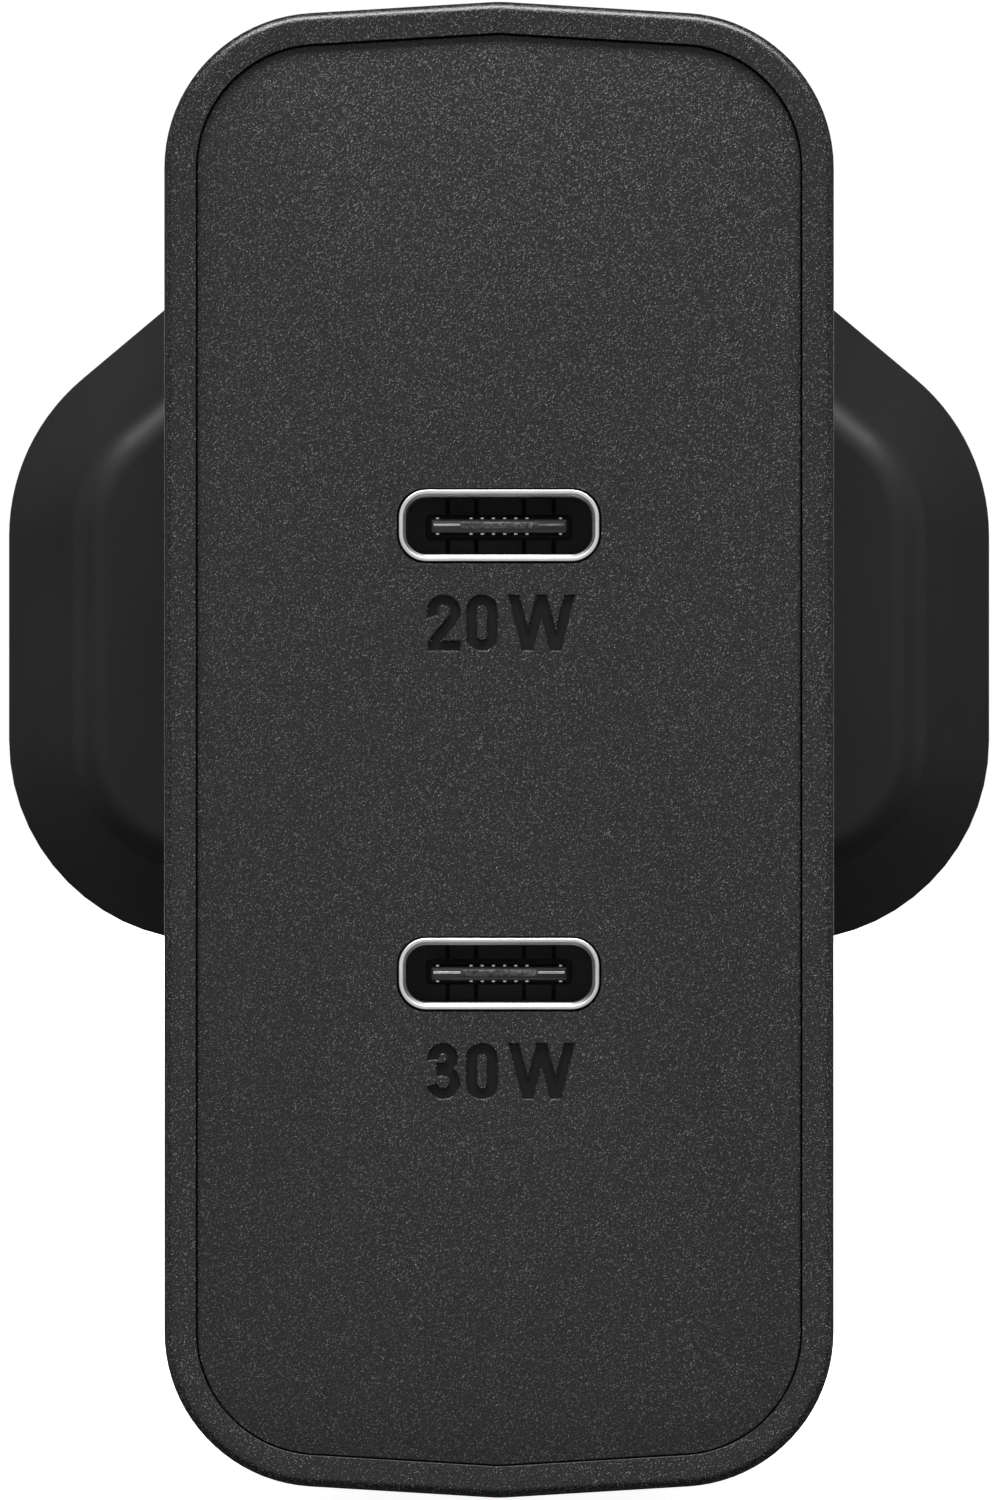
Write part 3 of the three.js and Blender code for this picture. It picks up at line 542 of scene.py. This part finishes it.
# ------------------------------------------------------------------ pins
COVER_END = COVER[1][1]
PIN_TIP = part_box("live_pin")[1][1] / MM
EARTH_TIP = EARTH[1][1]
for name, s in (("live_pin", 1), ("neutral_pin", -1)):
    cx = s * 11.115

    def rr(w, h, r, n=6):
        return round_rect(cx, 0, w, h, r, n)
    lv = [(rr(4.75, 2.37, 0.3), -3.3), (rr(4.75, 2.37, 0.3), COVER_END + 0.06), (rr(6.15, 3.77, 0.45), COVER_END + 0.06),
          (rr(6.35, 3.97, 0.5), COVER_END + 0.16), (rr(6.35, 3.97, 0.5), PIN_TIP - 1.55)]
    for i in range(1, 6):
        t = i / 5
        lv.append((rr(6.35 - 1.15 * t, 3.97 - 1.15 * t, 0.5 - 0.1 * t), PIN_TIP - 1.55 + 1.3 * math.sin(t * math.pi / 2 * 0.8) / math.sin(math.pi / 2 * 0.8)))
    lv.append((rr(4.85, 2.47, 0.35), PIN_TIP - 0.06))
    lv.append((rr(4.6, 2.22, 0.3), PIN_TIP))
    blade = loft_y(name + "_blade", lv)
    collar = loft_y("collar", [(rr(5.8, 3.4, 0.4), -3.9), (rr(5.8, 3.4, 0.4), -2.75)])
    tail = loft_y("tail", [(round_rect(s * 9.3, 0, 1.8, 1.6, 0.2), -8.6), (round_rect(s * 9.3, 0, 2.2, 2.0, 0.2), -8.3), (round_rect(s * 9.3, 0, 2.2, 2.0, 0.2), -3.5)])
    boolean(blade, [collar, tail], "UNION")
    finish_piece(blade, M["pin_metal"], [name])
    prof = [(0.95, -2.1), (0.0, -2.1)] + quarter(0.0, COVER_END - 0.12, 0.12, COVER_END, 3, "y") + [(0.62, COVER_END)]
    cover = loft_y(name + "_sleeve", [(rr(6.35 - 2 * i, 3.97 - 2 * i, max(0.12, 0.5 - i)), y) for i, y in
                                      [(0.72, -2.1), (0.0, -2.1), (0.0, COVER_END - 0.12), (0.04, COVER_END - 0.04), (0.12, COVER_END), (0.72, COVER_END)]], close=True)
    finish_piece(cover, M["pin_plastic"], [name + "_cover"])

lv = [(round_rect(0, EARTH_Z, 3.97, 7.95, 0.5), -3.2), (round_rect(0, EARTH_Z, 3.97, 7.95, 0.5), EARTH_TIP - 2.9)]
for i in range(1, 7):
    t = i / 6
    lv.append((round_rect(0, EARTH_Z, 3.97 - 1.0 * t ** 1.5, 7.95 - 2.5 * t ** 1.3, 0.5 - 0.1 * t), EARTH_TIP - 2.9 + 2.65 * t))
lv.append((round_rect(0, EARTH_Z, 2.6, 5.05, 0.35), EARTH_TIP - 0.06))
lv.append((round_rect(0, EARTH_Z, 2.3, 4.75, 0.3), EARTH_TIP))
earth = loft_y("earth_pin_blade", lv)
boolean(earth, [loft_y("foot", [(round_rect(0, EARTH_Z, 6.0, 9.4, 0.5), -4.3), (round_rect(0, EARTH_Z, 6.0, 9.4, 0.5), -2.7)])], "UNION")
finish_piece(earth, M["pin_plastic"], ["earth_pin"])

# ------------------------------------------------------------------ outlets
for side, pz, lo, hi in PORTS:
    lip = PANEL_FACE - 0.02
    W, H, RR = PORT_W, PORT_H, PORT_R

    def ring(inset, r=None):
        return round_rect(0, pz, W - 2 * inset, H - 2 * inset, max(0.3, RR - inset) if r is None else r, 14)
    prof = [(0.0, PORT_REAR), (0.0, lip + 0.06)] + quarter(0.0, lip + 0.05, 0.045, lip, 5, "y")
    prof += [(0.10, lip)] + quarter(0.15, lip + 0.002, 0.19, lip + 0.022, 3, "x")
    prof += [(0.295, lip + 0.095), (0.31, lip + 0.125), (0.31, lip + 0.6), (0.31, PORT_REAR)]
    shell = loft_y(side + "_outlet_shell", [(ring(i), y) for i, y in prof], close=True)
    for p in shell.data.polygons:                    # the inside faces get a darker copy of the lip steel: painted shade inside the port
        inner_face = all(abs(shell.data.vertices[v].co.y / MM - lip) > 0.018 for v in p.vertices)
        c = p.center / MM
        depth_in = min(W / 2 - abs(c.x), H / 2 - abs(c.z - pz))
        p.material_index = 1 if inner_face and depth_in > 0.12 else 0
    finish_piece(shell, [M["shell"], M["shell_inner"]], [side + "_port_shell"])

    # plastic base with a pocket round the tongue and relief slots above and below it
    f = -37.2
    bw, bh = W - 0.64, H - 0.64
    core = loft_y(side + "_outlet_insert", [(round_rect(0, pz, bw, bh, RR - 0.32, 10), PORT_REAR), (round_rect(0, pz, bw, bh, RR - 0.32, 10), f)])
    cut = [loft_y("pocket", [(round_rect(0, pz, 6.62, 1.16, 0.25), f - 1), (round_rect(0, pz, 6.58, 1.12, 0.25), f + 0.9)])]
    for x in (-2.31, -1.03, 1.13, 2.46):
        for sgn in (-1, 1):
            z0, z1 = pz + sgn * 0.45, pz + sgn * 1.5
            cut.append(loft_y("slot", [(round_rect(x, (z0 + z1) / 2, 0.19, abs(z1 - z0), 0.03, 2), f - 1), (round_rect(x, (z0 + z1) / 2, 0.19, abs(z1 - z0), 0.03, 2), f + 1.1)]))
    boolean(core, cut)
    tw, tt, tip = 6.10, 0.62, -41.0
    tongue = loft_y("tongue", [(round_rect(0, pz, tw, tt, 0.10, 4), f + 1.2), (round_rect(0, pz, tw, tt, 0.10, 4), tip + 0.16),
                               (round_rect(0, pz, tw - 0.06, tt - 0.06, 0.09, 4), tip + 0.06), (round_rect(0, pz, tw - 0.22, tt - 0.20, 0.06, 4), tip)])
    boolean(core, [tongue], "UNION")
    finish_piece(core, M["port_plastic"], [side + "_port_insert"], weighted=False)

    # metal mid plate: its blanked edge shows in the tip of the tongue
    plate = loft_y(side + "_outlet_midplate", [(round_rect(0, pz + 0.02, 3.38, 0.30, 0.04, 3), tip + 0.25), (round_rect(0, pz + 0.02, 3.38, 0.30, 0.04, 3), tip - 0.012),
                                               (round_rect(0, pz + 0.02, 3.30, 0.22, 0.03, 3), tip - 0.03)])
    finish_piece(plate, M["midplate"])
    for tag, sx in (("left", -1), ("right", 1)):
        ear = loft_y("%s_outlet_midplate_%s_ear" % (side, tag),
                     [(round_rect(sx * 2.33, pz + 0.05, 1.22, 0.085, 0.02, 3), tip + 0.2), (round_rect(sx * 2.33, pz + 0.05, 1.22, 0.085, 0.02, 3), tip - 0.010),
                      (round_rect(sx * 2.33, pz + 0.05, 1.19, 0.055, 0.015, 3), tip - 0.022)])
        finish_piece(ear, M["ear"])

    # eight plated contacts on each face of the tongue
    k = 0
    for sgn in (-1, 1):
        for x in (-2.75, -1.25, -0.75, -0.25, 0.25, 0.75, 1.25, 2.75):
            k += 1
            zt = pz + sgn * (tt / 2)
            y0 = tip + 0.34
            bar = []
            for y, lift, w in ((y0, 0.070, 0.125), (y0 + 0.015, 0.080, 0.145), (y0 + 3.1, 0.080, 0.145), (y0 + 3.3, -0.02, 0.13)):
                bar.append((round_rect(x, zt + sgn * (lift - 0.06) / 2, w, 0.06 + lift, 0.012, 2), y))
            c = loft_y("%s_outlet_contact_%02d" % (side, k), bar)
            finish_piece(c, M["contact"])

# ------------------------------------------------------------------ inner pieces: CAD solids with their own finishes
inner = {
    "board": ("circuit_board", smooth_plastic("solder_mask_green", (0.010, 0.075, 0.028), (0.018, 0.115, 0.045), rough=(0.22, 0.34), depth=0.006, scale=2200, coat=0.3)),
    "fuse": ("fuse_ceramic", smooth_plastic("fuse_ceramic_white", (0.70, 0.67, 0.60), (0.80, 0.78, 0.72), rough=(0.35, 0.5))),
    "ferrite": ("ferrite", smooth_plastic("ferrite_grey", (0.035, 0.036, 0.040), (0.060, 0.062, 0.068), rough=(0.45, 0.7), depth=0.012, scale=6000)),
    "copper": ("copper_wire", metal("enamelled_copper", (0.42, 0.15, 0.05), (0.66, 0.27, 0.10), rough=(0.2, 0.32), scale=(500, 3500, 500), depth=0.03)),
    "strip": ("copper_strip", metal("copper_alloy_strip", (0.72, 0.42, 0.26), (0.84, 0.54, 0.35), rough=(0.2, 0.34), scale=(3000, 500, 500))),
    "film": ("capacitor_film", smooth_plastic("film_capacitor_yellow", (0.60, 0.38, 0.04), (0.72, 0.50, 0.07), rough=(0.25, 0.36))),
    "chip": ("chip_resin", smooth_plastic("chip_resin_black", (0.012, 0.012, 0.013), (0.020, 0.020, 0.022), rough=(0.45, 0.6), depth=0.006, scale=9000)),
    "sleeve": ("capacitor_sleeve", smooth_plastic("capacitor_sleeve_dark", (0.016, 0.020, 0.040), (0.026, 0.032, 0.058), rough=(0.22, 0.32), coat=0.4)),
    "tape": ("winding_tape", smooth_plastic("winding_tape_yellow", (0.66, 0.45, 0.05), (0.80, 0.60, 0.12), rough=(0.2, 0.3), depth=0.01, scale=1600)),
    "disc": ("capacitor_disc", smooth_plastic("dipped_blue", (0.02, 0.09, 0.30), (0.03, 0.13, 0.42), rough=(0.2, 0.32), coat=0.5)),
    "barrier": ("barrier_film", smooth_plastic("barrier_film_cream", (0.70, 0.64, 0.44), (0.80, 0.75, 0.56), rough=(0.3, 0.42))),
    "pad": ("thermal_silicone", smooth_plastic("silicone_grey", (0.22, 0.27, 0.32), (0.30, 0.35, 0.40), rough=(0.7, 0.85), depth=0.01, scale=3000)),
    "alu": ("spreader_aluminium", metal("aluminium_sheet", (0.66, 0.67, 0.68), (0.78, 0.79, 0.80), rough=(0.28, 0.42), scale=(400, 300, 5200))),
    "can": ("capacitor_can", metal("bare_can", (0.70, 0.71, 0.72), (0.82, 0.83, 0.84), rough=(0.2, 0.3), scale=(400, 5200, 400))),
    "black": ("inner_plastic", M["inner_plastic"]),
    "screw": ("screw_steel", M["screw"]),
}
by_slot = {slot: mat for slot, mat in inner.values()}
slots = {s["node"]: s["material_slot"] for s in frame["record"]["subparts"]}
shown = {"housing_sleeve", "front_panel", "plug_base", "live_pin", "neutral_pin", "earth_pin", "live_pin_cover", "neutral_pin_cover",
         "upper_port_shell", "lower_port_shell", "upper_port_insert", "lower_port_insert"}
for node, ob in frame["nodes"].items():
    if node in shown:
        continue
    mat = by_slot[slots[node]]
    if ob.material_slots:
        for ms in ob.material_slots:
            ms.material = mat
    bev = ob.modifiers.new("edges", "BEVEL")
    bev.width, bev.segments, bev.limit_method, bev.angle_limit = 0.08 * MM, 2, "ANGLE", math.radians(50)

# ------------------------------------------------------------------ stage
FLOOR = min(c for c in (cad_lo.z,)) - 0.0002


def stage_mesh(name, verts, faces):
    me = bpy.data.meshes.new(name)
    me.from_pydata(verts, [], faces)
    ob = bpy.data.objects.new(name, me)
    bpy.context.scene.collection.objects.link(ob)
    return ob


n = 64
floor = stage_mesh("floor", [(3.4 * math.cos(2 * math.pi * i / n), 3.4 * math.sin(2 * math.pi * i / n), FLOOR) for i in range(n)], [tuple(range(n))])
fm = bpy.data.materials.new("floor_pale")
fm.use_nodes = True
t = fm.node_tree
t.nodes.clear()
out = t.nodes.new("ShaderNodeOutputMaterial")
add = t.nodes.new("ShaderNodeAddShader")
emit = t.nodes.new("ShaderNodeEmission")
diff = t.nodes.new("ShaderNodeBsdfDiffuse")
diff.inputs["Color"].default_value = (0.5, 0.5, 0.5, 1)
geo = t.nodes.new("ShaderNodeNewGeometry")
tc = t.nodes.new("ShaderNodeTexCoord")
ln = t.nodes.new("ShaderNodeVectorMath")
ln.operation = "LENGTH"
# The floor glows, dimmer near the object (0.94) than far away (1.0): painted shade round the object. The diffuse part
# also takes the real cast shadows.
floor_glow_dimmed_near_object = t.nodes.new("ShaderNodeMapRange")
floor_glow_dimmed_near_object.inputs["From Min"].default_value, floor_glow_dimmed_near_object.inputs["From Max"].default_value = 0.05, 0.9
floor_glow_dimmed_near_object.inputs["To Min"].default_value, floor_glow_dimmed_near_object.inputs["To Max"].default_value = 0.94, 1.0
clear = t.nodes.new("ShaderNodeBsdfTransparent")
mix = t.nodes.new("ShaderNodeMixShader")
t.links.new(tc.outputs["Object"], ln.inputs[0])
t.links.new(ln.outputs["Value"], floor_glow_dimmed_near_object.inputs["Value"])
t.links.new(floor_glow_dimmed_near_object.outputs[0], emit.inputs["Strength"])
t.links.new(emit.outputs[0], add.inputs[0])
t.links.new(diff.outputs[0], add.inputs[1])
t.links.new(geo.outputs["Backfacing"], mix.inputs["Fac"])
t.links.new(add.outputs[0], mix.inputs[1])
t.links.new(clear.outputs[0], mix.inputs[2])
t.links.new(mix.outputs[0], out.inputs["Surface"])
floor.data.materials.append(fm)

verts, faces = [], []
rows, cols, rad = 24, 48, 3.5
for i in range(rows + 1):
    e = math.pi * i / rows
    for k in range(cols):
        a = 2 * math.pi * k / cols
        verts.append((rad * math.sin(e) * math.cos(a), rad * math.sin(e) * math.sin(a), rad * math.cos(e)))
for i in range(rows):
    for k in range(cols):
        faces.append((i * cols + k, i * cols + (k + 1) % cols, (i + 1) * cols + (k + 1) % cols, (i + 1) * cols + k))
dome = stage_mesh("backdrop", verts, faces)
dm = bpy.data.materials.new("backdrop_white")
dm.use_nodes = True
dm.node_tree.nodes.clear()
o = dm.node_tree.nodes.new("ShaderNodeOutputMaterial")
e = dm.node_tree.nodes.new("ShaderNodeEmission")
e.inputs["Color"].default_value = (1, 1, 1, 1)
e.inputs["Strength"].default_value = 1.02
dm.node_tree.links.new(e.outputs[0], o.inputs["Surface"])
dome.data.materials.append(dm)
for ob in (dome, floor):
    ob.visible_diffuse = ob.visible_glossy = ob.visible_transmission = ob.visible_volume_scatter = False
    ob.visible_shadow = False


def softbox(name, at, aim, size, radiance, diffuse=True, glossy=True):
    """A rectangular area light; radiance in W/(sr m2), so its size doesn't change how bright it looks."""
    li = bpy.data.lights.new(name, "AREA")
    li.shape, li.size, li.size_y = "RECTANGLE", size[0], size[1]
    li.energy = radiance * math.pi * size[0] * size[1]
    ob = bpy.data.objects.new(name, li)
    bpy.context.scene.collection.objects.link(ob)
    ob.location = at
    ob.rotation_euler = (Vector(aim) - Vector(at)).to_track_quat("-Z", "Y").to_euler()
    ob.visible_camera = False
    ob.visible_diffuse, ob.visible_glossy = diffuse, glossy
    return ob


mid = Vector((0, FRONT * MM, ZC * MM))
softbox("key_box", mid + Vector((0, -0.865, 1.585)), mid, (2.05, 0.84), 21.0)
softbox("front_box", (0.0, -1.30, 0.05), mid, (2.2, 1.5), 0.48)
softbox("low_fill", (0.0, 0.10, -1.00), mid, (1.0, 1.0), 2.4, glossy=False)
softbox("left_fill", (-1.2, 0.10, 0.10), mid, (1.0, 1.0), 4.5, glossy=False)
softbox("right_fill", (1.2, 0.10, 0.10), mid, (1.0, 1.0), 4.5, glossy=False)
softbox("left_sheen", (-1.3, -0.10, 0.10), mid, (1.6, 1.2), 0.18, diffuse=False)
softbox("right_sheen", (1.3, -0.10, 0.10), mid, (1.6, 1.2), 0.18, diffuse=False)
softbox("back_fill", (0.0, 1.2, 0.60), mid, (1.0, 1.0), 8.0, glossy=False)
softbox("back_box", (0.0, 1.30, 0.0), mid, (1.0, 0.8), 1.2)

world = bpy.data.worlds.new("studio")
bpy.context.scene.world = world
world.use_nodes = True
world.node_tree.nodes["Background"].inputs["Color"].default_value = (1, 1, 1, 1)
world.node_tree.nodes["Background"].inputs["Strength"].default_value = 0.04

# ------------------------------------------------------------------ camera: level, square to the front
cam_data = bpy.data.cameras.new("camera")
cam = bpy.data.objects.new("camera", cam_data)
bpy.context.scene.collection.objects.link(cam)
DIST = 0.4600
VIEW_H = 0.06687
cam_data.sensor_width = 36.0
cam_data.lens = 36.0 * DIST / VIEW_H
cam.location = (0.00002, FRONT * MM - DIST, (ZC - 0.010) * MM)
cam.rotation_euler = (math.radians(90), 0, 0)
cam_data.clip_start, cam_data.clip_end = 0.01, 20
bpy.context.scene.camera = cam
bpy.context.scene.view_settings.view_transform = "Standard"
bpy.context.scene.view_settings.look = "None"
